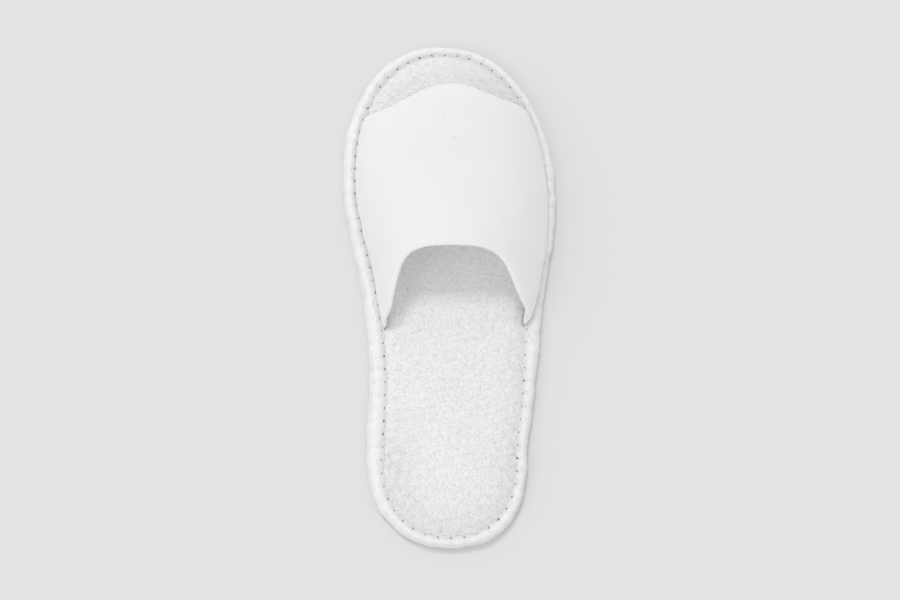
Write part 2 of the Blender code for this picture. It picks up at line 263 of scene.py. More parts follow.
def clothToneGroup():
    # two near whites in soft patches, with a finer fleck over them
    group, given, made = newGroup("clothTone", [
        ("Place", "NodeSocketVector", None), ("Pale", "NodeSocketColor", (0.9, 0.9, 0.9, 1)),
        ("Shade", "NodeSocketColor", (0.8, 0.8, 0.8, 1)), ("Patches", "NodeSocketFloat", 60.0),
        ("Flecks", "NodeSocketFloat", 900.0),
    ], [("Colour", "NodeSocketColor")])
    patches = addNode(group, "ShaderNodeTexNoise")
    setInputs(patches, {"Detail": 2.0})
    flecks = addNode(group, "ShaderNodeTexNoise")
    setInputs(flecks, {"Detail": 1.0})
    both = addNode(group, "ShaderNodeMath", operation="ADD")
    spread = addNode(group, "ShaderNodeMapRange")
    setInputs(spread, {"From Min": 0.65, "From Max": 1.35})
    mixed = addNode(group, "ShaderNodeMix", data_type="RGBA")
    joinSockets(
        group,
        (given.outputs["Place"], patches.inputs["Vector"]),
        (given.outputs["Place"], flecks.inputs["Vector"]),
        (given.outputs["Patches"], patches.inputs["Scale"]),
        (given.outputs["Flecks"], flecks.inputs["Scale"]),
        (patches.outputs["Fac"], both.inputs[0]),
        (flecks.outputs["Fac"], both.inputs[1]),
        (both.outputs[0], spread.inputs["Value"]),
        (spread.outputs["Result"], mixed.inputs["Factor"]),
        (given.outputs["Pale"], mixed.inputs["A"]),
        (given.outputs["Shade"], mixed.inputs["B"]),
        (mixed.outputs["Result"], made.inputs["Colour"]),
    )
    return group


def pileGroup():
    # small rounded cells over a finer fuzz, for the height of cloth with a pile
    group, given, made = newGroup("pile", [
        ("Place", "NodeSocketVector", None), ("Cells", "NodeSocketFloat", 700.0),
        ("Fuzz", "NodeSocketFloat", 2600.0), ("Fuzz Share", "NodeSocketFloat", 0.5),
    ], [("Height", "NodeSocketFloat")])
    cells = addNode(group, "ShaderNodeTexVoronoi", feature="SMOOTH_F1")
    setInputs(cells, {"Smoothness": 0.5})
    fuzz = addNode(group, "ShaderNodeTexNoise")
    setInputs(fuzz, {"Detail": 3.0})
    rounded = addNode(group, "ShaderNodeMath", operation="SUBTRACT")
    rounded.inputs[0].default_value = 1.0
    mixed = addNode(group, "ShaderNodeMix", data_type="FLOAT")
    joinSockets(
        group,
        (given.outputs["Place"], cells.inputs["Vector"]),
        (given.outputs["Place"], fuzz.inputs["Vector"]),
        (given.outputs["Cells"], cells.inputs["Scale"]),
        (given.outputs["Fuzz"], fuzz.inputs["Scale"]),
        (cells.outputs["Distance"], rounded.inputs[1]),
        (given.outputs["Fuzz Share"], mixed.inputs["Factor"]),
        (rounded.outputs[0], mixed.inputs["A"]),
        (fuzz.outputs["Fac"], mixed.inputs["B"]),
        (mixed.outputs["Result"], made.inputs["Height"]),
    )
    return group


clothTone = clothToneGroup()
pile = pileGroup()

finishes = {
    # the two tones of the cloth and, where a piece asks for it, a colour of painted shade, how fine its
    # patches, flecks and pile are per metre, the pile's relief in metres, how deep light goes into the
    # cloth and the strength of its painted glow
    "brushedCloth": {
        "pale": (0.815, 0.815, 0.815), "shade": (0.800, 0.800, 0.802), "patches": 45, "flecks": 700,
        "cells": 1500, "fuzz": 2600, "fuzzShare": 0.75, "relief": 0.00012,
        # through: strength of the painted glow the lining gives off, standing in for light come through the
        # cloth
        "roughness": 0.92, "sheen": 0.15, "glow": 1.0, "glowDepth": 0.0040, "through": 0.225,
    },
    # the darker colours of the terry's loops and ground are painted shade round the footbed's heel and
    # outer border
    "terryLoops": {
        "pale": (0.89, 0.89, 0.89), "shade": (0.85, 0.85, 0.85), "paintedShadeColour": (0.79, 0.79, 0.79),
        "patches": 60, "flecks": 420, "cells": 2200, "fuzz": 4200, "fuzzShare": 0.6, "relief": 0.00010,
        "roughness": 0.95, "sheen": 0.20,
    },
    "terryGround": {
        "pale": (0.87, 0.87, 0.87), "shade": (0.84, 0.84, 0.84), "paintedShadeColour": (0.78, 0.78, 0.78),
        "patches": 60, "flecks": 900, "cells": 900, "fuzz": 2600, "fuzzShare": 0.4, "relief": 0.00030,
        "roughness": 0.95, "sheen": 0.10,
    },
    # the tape's darker colour is painted shade in its needle holes
    "terryTape": {
        "pale": (0.885, 0.885, 0.885), "shade": (0.85, 0.85, 0.85), "paintedShadeColour": (0.06, 0.06, 0.06),
        "patches": 50, "flecks": 800, "cells": 1100, "fuzz": 2600, "fuzzShare": 0.5, "relief": 0.00020,
        "roughness": 0.95, "sheen": 0.10, "glow": 0.6, "glowDepth": 0.0025,
    },
    "sewingThread": {
        "pale": (0.88, 0.88, 0.87), "shade": (0.80, 0.80, 0.79), "patches": 300, "flecks": 2500,
        "cells": 2500, "fuzz": 5200, "fuzzShare": 0.3, "relief": 0.00004,
        "roughness": 0.55, "sheen": 0.05,
    },
    "lintGrey": {
        "pale": (0.42, 0.41, 0.39), "shade": (0.30, 0.29, 0.28), "patches": 300, "flecks": 2500,
        "cells": 2500, "fuzz": 5200, "fuzzShare": 0.5, "relief": 0.00004,
        "roughness": 0.95, "sheen": 0.0,
    },
    "foamSole": {
        "pale": (0.86, 0.86, 0.85), "shade": (0.80, 0.80, 0.79), "patches": 40, "flecks": 900,
        "cells": 420, "fuzz": 2200, "fuzzShare": 0.35, "relief": 0.00025,
        "roughness": 0.62, "sheen": 0.0,
    },
}


def makeMaterial(name, paintedShadeMask=None, paintedGlowMask=None):
    # each names an attribute of the piece: the first is 1 where the cloth takes its colour of painted
    # shade, the second where the lining gives off a painted glow that stands in for daylight come through
    # the thin cloth
    look = finishes[name]
    material = bpy.data.materials.new(name)
    material.use_nodes = True
    tree = material.node_tree
    shader = tree.nodes["Principled BSDF"]
    setInputs(shader, {
        "Roughness": look["roughness"], "Sheen Weight": look["sheen"], "Specular IOR Level": 0.25,
        "Subsurface Weight": look.get("glow", 0.0), "Subsurface Radius": (1.0, 1.0, 1.0),
        "Subsurface Scale": look.get("glowDepth", 0.001),
    })
    place = addNode(tree, "ShaderNodeTexCoord")
    tone = addNode(tree, "ShaderNodeGroup", node_tree=clothTone)
    setInputs(tone, {
        "Pale": (*look["pale"], 1), "Shade": (*look["shade"], 1),
        "Patches": look["patches"], "Flecks": look["flecks"],
    })
    relief = addNode(tree, "ShaderNodeGroup", node_tree=pile)
    setInputs(relief, {"Cells": look["cells"], "Fuzz": look["fuzz"], "Fuzz Share": look["fuzzShare"]})
    bump = addNode(tree, "ShaderNodeBump")
    setInputs(bump, {"Strength": 1.0, "Distance": look["relief"]})
    joinSockets(
        tree,
        (place.outputs["Object"], tone.inputs["Place"]),
        (place.outputs["Object"], relief.inputs["Place"]),
        (relief.outputs["Height"], bump.inputs["Height"]),
        (bump.outputs["Normal"], shader.inputs["Normal"]),
    )
    colour = tone.outputs["Colour"]
    # painted shade: the colour is drawn towards a darker one where the mask is 1
    if paintedShadeMask:
        mask = addNode(tree, "ShaderNodeAttribute", attribute_name=paintedShadeMask)
        darker = addNode(tree, "ShaderNodeMix", data_type="RGBA")
        setInputs(darker, {"B": (*look["paintedShadeColour"], 1)})
        joinSockets(tree, (mask.outputs["Fac"], darker.inputs["Factor"]), (colour, darker.inputs["A"]))
        colour = darker.outputs["Result"]
    joinSockets(tree, (colour, shader.inputs["Base Color"]))
    # painted glow: the cloth gives off light of its own colour where the mask is 1, though it is no lamp
    if paintedGlowMask:
        mask = addNode(tree, "ShaderNodeAttribute", attribute_name=paintedGlowMask)
        paintedGlowColour = addNode(tree, "ShaderNodeMix", data_type="RGBA")
        setInputs(paintedGlowColour, {"A": (0, 0, 0, 1)})
        joinSockets(
            tree, (mask.outputs["Fac"], paintedGlowColour.inputs["Factor"]), (colour, paintedGlowColour.inputs["B"]),
            (paintedGlowColour.outputs["Result"], shader.inputs["Emission Color"]),
        )
        setInputs(shader, {"Emission Strength": look["through"]})
    return material


# painted glow on the vamp's lining; painted shade round the footbed's heel and outer border and in the
# tape's needle holes
brushedCloth = makeMaterial("brushedCloth", paintedGlowMask="lining")
terryLoops = makeMaterial("terryLoops", paintedShadeMask="borderShadeMask")
terryGround = makeMaterial("terryGround", paintedShadeMask="borderShadeMask")
terryTape = makeMaterial("terryTape", paintedShadeMask="holeShadeMask")
sewingThread = makeMaterial("sewingThread")
lintGrey = makeMaterial("lintGrey")
foamSole = makeMaterial("foamSole")
print("materials made")


# the upper is a padded vamp of brushed cloth
vamp = {
    "wall": 0.0026, "hemExtra": 0.0008, "hemWidth": 0.010,
    "hemRoll": 0.0080, "rollShare": 0.80,   # the hem bends in over this, by this share of half the wall
    "foot": 0.0009, "footReach": 0.030,     # the wall rises this far inside the seam, less at the horns
    "hornOuter": 0.0052, "hornInner": 0.0062, "hornPlace": 0.78, "hornWidth": 0.16,
    "footSqueeze": 0.7, "foldRise": 0.0006, "squeezedHeight": 0.004,
    # the flange's thickness, its cut edge out from the seam, and where it bends up short of the wall
    "flange": 0.0008, "flangeReach": 0.0030, "foldStart": 0.0010, "foldEnd": 0.0002,
    # tip and top as shares of the length, squareness of the shoulders, steepness of the ends, the share
    # by which the outer end lies forward and the inner end back, and how far outward the top stands
    "throat": (0.431, 0.560, 3.25, 1.4, 0.0045, 0.0),
    "toeEdge": (0.862, 0.9037, 1.9, 2.8, 0.0135, 0.08),
    "bulgeHeight": 0.20, "bulgeScale": 1.4, "bulgeRamp": 0.018, "bulgeAtThroat": 0.75, "lean": -0.0036,
    "archSteps": 96, "alongSteps": 116, "hemSteps": 5, "crowding": 1.5,     # rows crowd at the crown
    # along, height as a share of the instep, side rise, crown spread, outer bulge, inner bulge
    "sections": [(0.410, 1.090, 1.1, 2.45, 0.0072, 0.0042), (0.556, 1.000, 1.3, 2.45, 0.0066, 0.0022),
                 (0.684, 0.851, 1.75, 2.60, 0.0031, 0.0002), (0.807, 0.680, 1.8, 2.55, 0.0017, 0.0000),
                 (0.919, 0.491, 1.9, 2.40, 0.0012, 0.0000)],
    # soft troughs (below 0) and ridges: place along and across, reach along and across, turn, height
    "dents": [(0.700, -0.006, 0.060, 0.0050, 3, 0.00050), (0.600, -0.030, 0.022, 0.0070, -24, -0.00045),
              (0.655, -0.040, 0.018, 0.0060, -14, -0.00035),
              (0.585, 0.026, 0.016, 0.0080, 30, -0.00035),
              (0.800, 0.022, 0.020, 0.0090, 18, -0.00025), (0.860, -0.020, 0.012, 0.0080, 40, 0.00020)],
}
settling = {                        # cloth simulation of the vamp, sewn down at both sides
    # slack is the share by which the cloth is longer than its pattern, pressure stands for its foam
    "skip": 4, "frames": 22, "slack": 0.012, "stiffness": 24.0, "bending": 6.0, "pressure": 0.6,
    "cap": 0.0016, "fade": 0.006,   # no point moves further than cap, and none at the seams
    "spread": 0.75,                 # how far a coarse point reaches, in its own steps
}


def archPoints(turn, y, throat):
    # an arch over the two seams: sideways sine and upward cosine, each to a power, plus side bulges
    along = (y - tapeLow.y) / slipper["length"]
    rows = np.array(vamp["sections"]).T
    height, sideRise, spread, outerBulge, innerBulge = (
        curveThrough(rows[0], row, along) for row in rows[1:]
    )
    fromHorn = y - tapeLow.y - slipper["length"] * vamp["throat"][0]
    foot = vamp["foot"] * ease(fromHorn / vamp["footReach"])
    inner = sideLine(seamInset, y, outer=False) + foot
    outer = sideLine(seamInset, y, outer=True) - foot
    sideways = np.sign(turn) * np.abs(np.sin(turn)) ** (2 / spread)
    rise = np.cos(turn) ** (2 / sideRise)
    swell = vamp["bulgeScale"] * ease(rise / vamp["bulgeHeight"]) * (1.0 - rise) ** 1.5
    ramp = ease((y - throat) / vamp["bulgeRamp"])
    swell *= vamp["bulgeAtThroat"] + (1.0 - vamp["bulgeAtThroat"]) * ramp
    x = (inner + outer) / 2 + (outer - inner) / 2 * sideways
    x += swell * np.where(turn > 0.0, outerBulge, -innerBulge) + vamp["lean"] * rise
    low = slipper["bedRim"] + vamp["foldRise"]
    return np.stack([x, y, low + (slipper["instep"] * height - low) * rise], axis=2)


def hemLine(turn, hem):
    # its middle part spans the arch and its ends run down to the seams, the outer one further forward
    tip, top, squareness, steepness, skew, outward = hem
    climb = (1.0 - np.clip(np.abs(np.sin(turn) - outward), 0.0, 1.0) ** squareness) ** steepness
    return tapeLow.y + slipper["length"] * (tip + (top - tip) * climb + skew * np.sin(turn))


def throatLine(turn):
    # the horns are a little broader than the plain curve leaves them
    broader = np.exp(-((np.abs(np.sin(turn)) - vamp["hornPlace"]) / vamp["hornWidth"]) ** 2)
    broader = broader * np.where(turn > 0.0, vamp["hornOuter"], vamp["hornInner"])
    return hemLine(turn, vamp["throat"]) - broader


def vampFace():
    # outer face, from the inner seam over the crown to the outer seam, by throat to toe edge
    step = np.linspace(0.0, 1.0, vamp["archSteps"] + 1)
    falling = np.pi / 2 * (1.0 - step ** vamp["crowding"])
    turn = np.concatenate([-falling, falling[-2::-1]])[:, None]
    throat, toeEdge = throatLine(turn), hemLine(turn, vamp["toeEdge"])
    reach = np.linspace(0.0, 1.0, vamp["alongSteps"] + 1)
    y = throat + vamp["wall"] / 2 + (toeEdge - throat - vamp["wall"]) * reach
    return archPoints(turn, y, throat), y - throat, y[:, -1:] - y


def settle(face):
    # puffs the vamp up between its pinned sides as slack cloth and returns how far each point moved
    thin = face[:: settling["skip"], :: settling["skip"]]
    rows, columns = thin.shape[:2]
    mesh = bpy.data.meshes.new("slackVamp")
    mesh.from_pydata(thin.reshape(-1, 3).tolist(), [], gridFaces(rows, columns).tolist())
    slack = bpy.data.objects.new("slackVamp", mesh)
    bpy.context.scene.collection.objects.link(slack)
    sewn = slack.vertex_groups.new(name="sewn")
    sewn.add([*range(2 * columns), *range((rows - 2) * columns, rows * columns)], 1.0, "REPLACE")
    cloth = slack.modifiers.new("cloth", "CLOTH").settings
    cloth.vertex_group_mass = "sewn"
    cloth.quality = 8
    cloth.mass = 0.15
    cloth.tension_stiffness = cloth.compression_stiffness = settling["stiffness"]
    cloth.shear_stiffness = settling["stiffness"] / 2
    cloth.bending_stiffness = settling["bending"]
    cloth.shrink_min = -settling["slack"]
    cloth.effector_weights.gravity = 0.0
    cloth.use_pressure = True
    cloth.uniform_pressure_force = settling["pressure"]
    scene = bpy.context.scene
    for number in range(1, settling["frames"] + 1):
        scene.frame_set(number)
    hung = slack.evaluated_get(bpy.context.evaluated_depsgraph_get()).data
    places = np.empty(rows * columns * 3, dtype=np.float32)
    hung.vertices.foreach_get("co", places)
    scene.frame_set(1)
    bpy.data.objects.remove(slack)
    bpy.data.meshes.remove(mesh)
    return places.reshape(rows, columns, 3) - thin


def spreadOut(moved, shape):
    # every fine point takes a bell-shaped average of the coarse points round it, in both directions
    weights = []
    for fine, coarse in zip(shape, moved.shape):
        gap = np.linspace(0.0, coarse - 1, fine)[:, None] - np.arange(coarse)
        bell = np.exp(-0.5 * (gap / settling["spread"]) ** 2)
        weights.append(bell / bell.sum(axis=1, keepdims=True))
    return np.einsum("ia,jb,abk->ijk", *weights, moved)


def softDents(face):
    # sum of bells stretched along a turned line, each a trough or a ridge
    total = np.zeros(face.shape[:2])
    for along, across, longReach, wideReach, turn, height in vamp["dents"]:
        y = face[:, :, 1] - (tapeLow.y + along * slipper["length"])
        x = face[:, :, 0] - across
        c, s = np.cos(np.radians(turn)), np.sin(np.radians(turn))
        away = ((y * c - x * s) / longReach) ** 2 + ((x * c + y * s) / wideReach) ** 2
        total += height * np.exp(-0.5 * away)
    return total


def aboveFold(face):
    # height over the fold at the seam
    return face[:, :, 2] - slipper["bedRim"] - vamp["foldRise"]


def tuckedRows(y, outer):
    # the flange that lies flat between footbed and tape, from its cut edge to the fold
    start, end = vamp["foot"] - vamp["foldStart"], vamp["foot"] - vamp["foldEnd"]
    rows = [(-vamp["flangeReach"], 0.0), (start, 0.0), (end, vamp["foldEnd"])]
    return np.stack([
        np.stack([
            sideLine(seamInset + depth, y, outer), y, np.full(len(y), slipper["bedRim"] + lift),
        ], axis=1)
        for depth, lift in rows
    ])


def makeVamp():
    # each row becomes a closed loop: out along the face, round the toe hem, back along the lining
    # and round the throat's hem
    face, fromThroat, fromToe = vampFace()
    seamFade = ease(aboveFold(face) / settling["fade"])[:, :, None]
    moved = spreadOut(settle(face), face.shape[:2])
    far = np.linalg.norm(moved, axis=2, keepdims=True)
    print(f"vamp settled: {far.max() * 1000:.2f} mm at most before the cap")
    face = face + seamFade * moved * settling["cap"] / (settling["cap"] + far)
    onward = unit(np.gradient(face, axis=1))
    inward = unit(np.cross(onward, np.gradient(face, axis=0)))
    face = face - inward * seamFade * softDents(face)[:, :, None]
    clear = ease(aboveFold(face) / vamp["squeezedHeight"])
    squeeze = vamp["footSqueeze"] + (1.0 - vamp["footSqueeze"]) * clear
    turnedIn = vamp["hemExtra"] * (1.0 - ease(fromThroat / vamp["hemWidth"]))
    thickness = (vamp["wall"] + turnedIn) * squeeze
    onward = unit(np.gradient(face, axis=1))
    inward = unit(np.cross(onward, np.gradient(face, axis=0)))
    nearHem = np.clip(1.0 - np.minimum(fromThroat, fromToe) / vamp["hemRoll"], 0.0, 1.0)
    rolled = vamp["rollShare"] * thickness / 2 * (1.0 - np.sqrt(1.0 - nearHem ** 2))
    lining = face + inward * (thickness - rolled)[:, :, None]
    face = face + inward * rolled[:, :, None]
    turn = np.linspace(0.0, np.pi, vamp["hemSteps"] + 2)[1:-1, None]

    def hem(end, outward):
        # half a circle from face to lining, which stands out past the cut edge
        middle = (face[:, None, end] + lining[:, None, end]) / 2
        radius = np.linalg.norm(lining[:, end] - face[:, end], axis=1)[:, None, None] / 2
        past, through = onward[:, None, end], inward[:, None, end]
        return middle + radius * (outward * np.sin(turn) * past - np.cos(turn) * through)

    toeHem, throatHem = hem(-1, 1.0), hem(0, -1.0)[:, ::-1]
    loops = np.concatenate([face, toeHem, lining[:, ::-1], throatHem], axis=1)
    flange = []
    for end, outer in ((0, False), (-1, True)):
        rows = tuckedRows(face[end, :, 1], outer)
        under = rows[:, ::-1] - (0.0, 0.0, vamp["flange"])
        rounding = vamp["flange"] / 2 * (np.sin(turn) * (0, 1, 0) + np.cos(turn) * (0, 0, 1))
        atToe = (rows[:, -1:] + under[:, :1]) / 2 + rounding
        atThroat = (rows[:, :1] + under[:, -1:]) / 2 - rounding
        flange.append(np.concatenate([rows, atToe, under, atThroat], axis=1))
    loops = np.concatenate([flange[0], loops, flange[1][::-1]])
    rows, size = loops.shape[:2]
    faces = gridFaces(rows, size, closeColumns=True).tolist()
    columns, hemSteps = face.shape[1], vamp["hemSteps"]
    for start, facing in ((0, 1), ((rows - 1) * size, -1)):
        row = start + np.arange(size)
        outside = row[:columns]
        inside = row[columns + hemSteps: 2 * columns + hemSteps][::-1]
        caps = np.stack([outside[:-1], outside[1:], inside[1:], inside[:-1]], axis=1).tolist()
        caps.append([outside[0], inside[0], *row[2 * columns + hemSteps:]])
        caps.append([outside[-1], *row[columns: columns + hemSteps], inside[-1]])
        faces += [cap[::facing] for cap in caps]
    # painted glow on the lining, standing in for daylight come through the thin cloth, fading out towards
    # both hems
    paintedGlowShare = np.zeros((rows, size))
    paintedGlowShare[len(flange[0]):-len(flange[1]), columns + hemSteps: 2 * columns + hemSteps] = ease(
        np.minimum(fromThroat, fromToe) / vamp["hemRoll"])[:, ::-1]
    piece = makePiece("vamp", loops.reshape(-1, 3), faces, brushedCloth)
    addAttribute(piece, "lining", paintedGlowShare)
    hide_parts("upper")
    return face, inward


vampOutside, vampInward = makeVamp()


# terry tape is folded round the edge of the sole and sewn through
tape = {
    "crest": 0.60, "middle": 0.0024, "underside": 0.0002,     # crest as a share of the seam's inset
    "lap": 0.0015, "lapAtVamp": 0.0009,           # reach over the footbed, in from the seam
    "heel": 0.5,                                  # 1 rounds the roll under the edge, less squares it
    # 1 is a straight slope up to the crest and 2 a round one, and under 1 it starts steeper
    "rollFullness": 1.75, "rollStart": 0.85,
    "underLap": 0.0083, "lining": 0.0019, "liningLow": 0.0015, "corner": 0.0005,
    "holeRadius": 0.00042, "holeDepth": 0.00055, "holeStretch": 1.5,
    # the thread draws the crest down by this at each hole, and the roll in by a share of it
    "pucker": 0.00022, "pullShare": 0.6,
    "grooveDip": 0.00018, "grooveWaver": 0.00012, "lapWaver": 0.00012, "lipDrop": 0.0003, "lipWall": 0.0006,
    "waver": 0.00028, "ruffle": 0.00007, "crestShare": 0.7,
    "pileRelief": 0.00010, "pileWaves": (0.0019, 0.0011), "pileFade": 0.0012,
    "pileAtSide": 0.25, "pileSlope": 0.6,         # share of the relief left where the roll stands upright
    "stationsPerStitch": 16, "rollSteps": 20, "lipSteps": 7, "grooveSteps": 18,
    "coverHalf": 0.040, "coverRamp": 0.021, "coverStart": 0.67,   # how the vamp's sides slip under it
}


def underVamp(x, y):
    # 1 where the vamp's sides lie between footbed and tape, 0 clear of them
    along = (y - tapeLow.y) / slipper["length"]
    side = np.clip(x / tape["coverHalf"], -1.0, 1.0)
    start, end = (vamp[hem][0] + vamp[hem][4] * side for hem in ("throat", "toeEdge"))
    ramp, lead = tape["coverRamp"], tape["coverStart"]
    return ease((along - start) / ramp + lead) * ease((end - along) / ramp + lead)


def nearHole(distance):
    # 1 at each needle hole and 0 half way to the next, by a cosine
    return 0.5 + 0.5 * np.cos(2 * np.pi * distance / stitch)


def grooveHeight(distance):
    # the sewn groove's floor: lower at each needle hole and a little uneven round the edge
    turn = distance / seamLength
    dip = tape["grooveDip"] * nearHole(distance) ** 3
    return seam["height"] - dip + tape["grooveWaver"] * wavesRound(turn, (17, 29, 41), 3)


def needleHoles(distance, beside):
    # how dark the painted shade in the needle holes is and how deep the tape is at a place: each hole is a
    # slit along the seam, a bell across it and along it, with its own size and turn
    draw = np.random.default_rng(27)
    number = np.mod(np.round(distance / stitch), stitchCount).astype(int)
    size, shade, slant = draw.uniform((0.70, 0.25, -0.5), (1.15, 1.0, 0.5), (stitchCount, 3)).T
    fromHole = (np.mod(distance / stitch + 0.5, 1.0) - 0.5) * stitch
    across = beside + slant[number] * fromHole
    away = np.hypot(fromHole / tape["holeStretch"], across) / (tape["holeRadius"] * size[number])
    return np.exp(-away ** 4) * np.sqrt(shade[number]), np.exp(-away ** 2) * shade[number]


def makeTape():
    # section carried round the edge: lip, groove, a superellipse roll, the lap under the sole and a
    # flat inside, lifted along its normals by the pile's waves and sunk at the needle holes
    clustered = np.linspace(-1.0, 1.0, tape["stationsPerStitch"] + 1)[:-1]
    clustered = clustered * (0.45 + 0.55 * clustered ** 2)      # stations crowd at the needle holes
    distance = ((np.arange(stitchCount)[:, None] + clustered / 2).ravel() * stitch)[:, None]
    place, inward, sewn = besideEdge(distance[:, 0])
    sewn = sewn[:, None]
    covered = underVamp(*place.T)[:, None]
    turn = distance / seamLength
    pull = tape["pucker"] * nearHole(distance)
    groove = grooveHeight(distance)
    waver = tape["waver"] * wavesRound(turn, (7, 12, 19, 31, 46), 5)
    waver = waver + tape["ruffle"] * wavesRound(turn, (73, 97, 118, 139, 171), 6)
    crest = slipper["edgeTop"] - pull + tape["crestShare"] * waver
    lap = tape["lap"] + (tape["lapAtVamp"] - tape["lap"]) * covered
    lap = lap + tape["lapWaver"] * wavesRound(turn, (23, 37, 61), 8) * (1.0 - covered)
    crestInset = tape["crest"] * sewn

    t = np.linspace(1.0, 0.0, tape["lipSteps"] + 1)[None, :-1]
    lipInset = sewn + lap * t ** 1.3
    lipHeight = groove - tape["lipDrop"] * t ** 3
    t = np.linspace(0.0, 1.0, tape["grooveSteps"] + 1)[None, :] ** 1.6
    rollInset = sewn + (crestInset - sewn) * t
    rollHeight = groove + (crest - groove) * (1.0 - (1.0 - t) ** tape["rollFullness"]) ** tape["rollStart"]
    a = np.linspace(0.0, np.pi, tape["rollSteps"] + 1)[None, 1:]
    half = np.where(a < np.pi / 2, crest - tape["middle"], tape["middle"] - tape["underside"])
    draw = (tape["pullShare"] * pull - waver) * np.sin(a)
    edgeInset = crestInset * (1.0 - np.sin(a) ** np.where(a < np.pi / 2, 1.0, tape["heel"])) + draw
    edgeHeight = tape["middle"] + half * np.cos(a)
    under = crestInset + (tape["underLap"] - crestInset) * np.linspace(0.0, 1.0, 5)[None, 1:]
    top = slipper["bedRim"] + slipper["fitGap"]
    corner = tape["corner"]
    inside = np.array([
        (tape["underLap"], tape["liningLow"]), (tape["lining"] + corner, tape["liningLow"]),
        (tape["lining"], tape["liningLow"] + corner), (tape["lining"], top - corner),
        (tape["lining"] + corner, top),
    ])
    count = len(distance)
    inset = np.concatenate([
        lipInset, rollInset, edgeInset, under, np.tile(inside[:, 0], (count, 1)), sewn, sewn + lap,
    ], axis=1)
    height = np.concatenate([
        lipHeight, rollHeight, edgeHeight, np.full(under.shape, tape["underside"]),
        np.tile(inside[:, 1], (count, 1)), np.full(sewn.shape, top), lipHeight[:, :1] - tape["lipWall"],
    ], axis=1)
    flat = place[:, None] + inward[:, None] * inset[:, :, None]
    points = np.concatenate([flat, height[:, :, None]], axis=2)

    ahead = np.roll(points, -1, axis=0) - np.roll(points, 1, axis=0)
    across = np.roll(points, -1, axis=1) - np.roll(points, 1, axis=1)
    outward = unit(np.cross(across, ahead))
    visible = lipInset.shape[1] + rollInset.shape[1] + edgeInset.shape[1]
    reach = np.cumsum(np.linalg.norm(np.diff(points, axis=1, prepend=points[:, :1]), axis=2), axis=1)
    fade = np.zeros(points.shape[1])
    fade[1:visible - 2] = 1.0
    broad, fine = tape["pileWaves"]
    loops = unevenness(distance, reach, broad, 21, 14) + 0.7 * unevenness(distance, reach, fine, 22, 14)
    fade = fade * ease(np.abs(inset - sewn) / tape["pileFade"])
    flatness = ease(outward[:, :, 2] / tape["pileSlope"])
    flatness = tape["pileAtSide"] + (1.0 - tape["pileAtSide"]) * flatness
    points += outward * (tape["pileRelief"] * loops * fade * flatness)[:, :, None]
    isTop = (np.arange(points.shape[1]) < visible)[None, :]
    hole, deep = needleHoles(distance, inset - sewn)
    points[:, :, 2] -= tape["holeDepth"] * deep * isTop
    faces = gridFaces(*points.shape[:2], closeRows=True, closeColumns=True)
    piece = makePiece("edgeTape", points.reshape(-1, 3), faces, terryTape)
    # painted shade in the needle holes
    addAttribute(piece, "holeShadeMask", hole * isTop)
    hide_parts("binding")
    return points[:, :visible], outward[:, :visible]


tapeTop, tapeOutward = makeTape()

thread = {"radius": 0.00022, "sides": 6, "stations": 11, "dive": 0.0007, "gap": 0.06, "lift": 0.6}


def makeThread():
    # one short tube from each needle hole to the next: it rises out of one, lies in the groove and
    # dives again by a sixth power
    t = np.linspace(0.0, 1.0, thread["stations"])
    along = thread["gap"] + (1.0 - 2 * thread["gap"]) * t
    distance = (np.arange(stitchCount)[:, None] + along) * stitch
    place, inward, inset = besideEdge(distance)
    flat = place + inward * inset[:, :, None]
    dive = thread["dive"] * np.abs(2 * t - 1) ** 6
    height = grooveHeight(distance) + thread["radius"] * thread["lift"] - dive
    middle = np.concatenate([flat, height[:, :, None]], axis=2)
    radius = thread["radius"] * np.sqrt(np.clip(1.02 - (2 * t - 1) ** 8, 0.02, 1.0))
    angle = 2 * np.pi * np.arange(thread["sides"]) / thread["sides"]
    side = np.concatenate([inward, np.zeros_like(height)[:, :, None]], axis=2)
    ring = np.cos(angle)[:, None] * side[:, :, None] + np.sin(angle)[:, None] * np.array([0, 0, 1.0])
    points = middle[:, :, None] + ring * radius[None, :, None, None]
    stitchFaces = gridFaces(thread["stations"], thread["sides"], closeColumns=True).tolist()
    last = (thread["stations"] - 1) * thread["sides"]
    ends = [list(range(thread["sides"])), list(range(last, last + thread["sides"]))[::-1]]
    perStitch = thread["stations"] * thread["sides"]
    faces = []
    for number in range(stitchCount):
        faces += [[corner + number * perStitch for corner in face] for face in stitchFaces + ends]
    return makePiece("seamThread", points.reshape(-1, 3), faces, sewingThread)


makeThread()


# the footbed is terry towelling on thin foam
footbed = {
    "inset": 0.0022, "corner": 0.0004, "slope": 0.0080, "steepness": 1.6,
    "pillow": 0.0096, "crown": 0.0010, "crownReach": 0.030,
    # depths of its rings in from the seam, then how far the last one is drawn to the middle line
    "stationsPerSide": 260, "rings": (*np.linspace(-0.0015, 0.0120, 22), 0.0145, 0.0175, 0.0220),
    "drawnIn": (0.2, 0.4, 0.6, 0.8, 0.96), "drawnDepth": 0.02,
    "spineHeel": 0.055, "spineToe": 0.065, "spineInset": 0.02,
    "start": -0.0012, "startAtVamp": 0.0017,      # where its border begins, in from the seam
    "dent": 0.00022, "dentWaves": (0.045, 0.016),
    # where the painted shade lies: reach from the heel, start and reach towards the outer side, reach in
    # from the border, patch size
    "shadeHeelReach": 0.040, "shadeOuterStart": -0.010, "shadeOuterReach": 0.030, "shadeBorderReach": 0.024, "shadePatchSize": 0.006,
}


def rimHeight(covered):
    # top of the footbed under the tape, lower where the vamp's flange lies on it
    return slipper["bedRim"] - covered * (vamp["flange"] + slipper["fitGap"])


